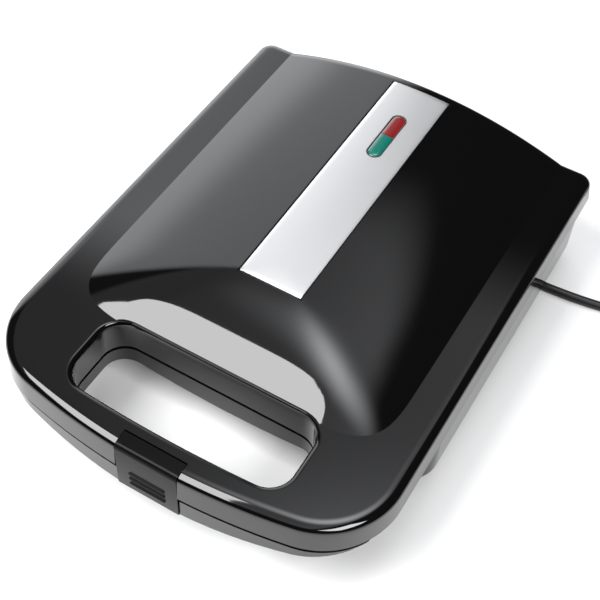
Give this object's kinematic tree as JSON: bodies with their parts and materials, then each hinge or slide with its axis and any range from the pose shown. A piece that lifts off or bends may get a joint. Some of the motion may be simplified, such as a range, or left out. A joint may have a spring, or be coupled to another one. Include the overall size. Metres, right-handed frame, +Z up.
{
  "type": "donut maker",
  "caption": "Electric ring-cake maker with a hinged crowned lid, carrying-handle opening, front latch, twin indicator lenses and ring-cavity baking plates.",
  "frame": {"origin": "on the surface under the feet, below the middle of the body's outline, mains lead left out", "axes": "+X to the right of someone facing the latch, +Y towards the hinge, +Z up"},
  "size_m": [0.3709, 0.4086, 0.0883],
  "materials": {
    "gloss_black": "glossy",
    "satin_black": "satin",
    "latch_black": "satin",
    "brushed_trim": "brushed",
    "green_lens": "clear gloss",
    "red_lens": "clear gloss",
    "lamp_glass": "clear",
    "non_stick": "non-stick coating",
    "element_steel": "dull",
    "tray_steel": "mill finish",
    "ceramic": "matt",
    "terminal_nylon": "matt",
    "foot_rubber": "matt",
    "screw_steel": "zinc plated",
    "lead_rubber": "satin",
    "pin_brass": "nickel plated"
  },
  "bodies": {
    "base": {"lower_housing": "gloss_black", "lower_liner": "satin_black", "lower_plate": "non_stick", "lower_heater": "element_steel", "lower_heat_tray": "tray_steel", "lower_thermostat": "ceramic", "thermal_fuse": "element_steel", "terminal_block": "terminal_nylon", "rubber_feet": "foot_rubber", "base_screws": "screw_steel", "hinge_pins": "screw_steel", "cord_gland": "lead_rubber", "mains_lead": "lead_rubber", "mains_coil": "lead_rubber", "mains_tail": "lead_rubber", "mains_plug": "lead_rubber", "plug_pins": "pin_brass"},
    "lid": {"upper_cover": "gloss_black", "upper_liner": "satin_black", "trim_plate": "brushed_trim", "ready_lens": "green_lens", "power_lens": "red_lens", "indicator_lamps": "lamp_glass", "lamp_holder": "satin_black", "upper_plate": "non_stick", "upper_heater": "element_steel", "upper_heat_tray": "tray_steel", "upper_thermostat": "ceramic", "upper_liner_screws": "screw_steel", "latch_pin": "screw_steel"},
    "latch": {"latch_clip": "latch_black"}
  },
  "joints": [
    {"name": "lid_hinge", "type": "hinge", "parent": "base", "child": "lid", "pos_m": [0, 0.1694, 0.0453], "axis": [-1, 0, 0], "range_deg": [0, 100]},
    {"name": "latch_pivot", "type": "hinge", "parent": "lid", "child": "latch", "pos_m": [0, -0.1661, 0.0681], "axis": [-1, 0, 0], "range_deg": [0, 35]}
  ]
}
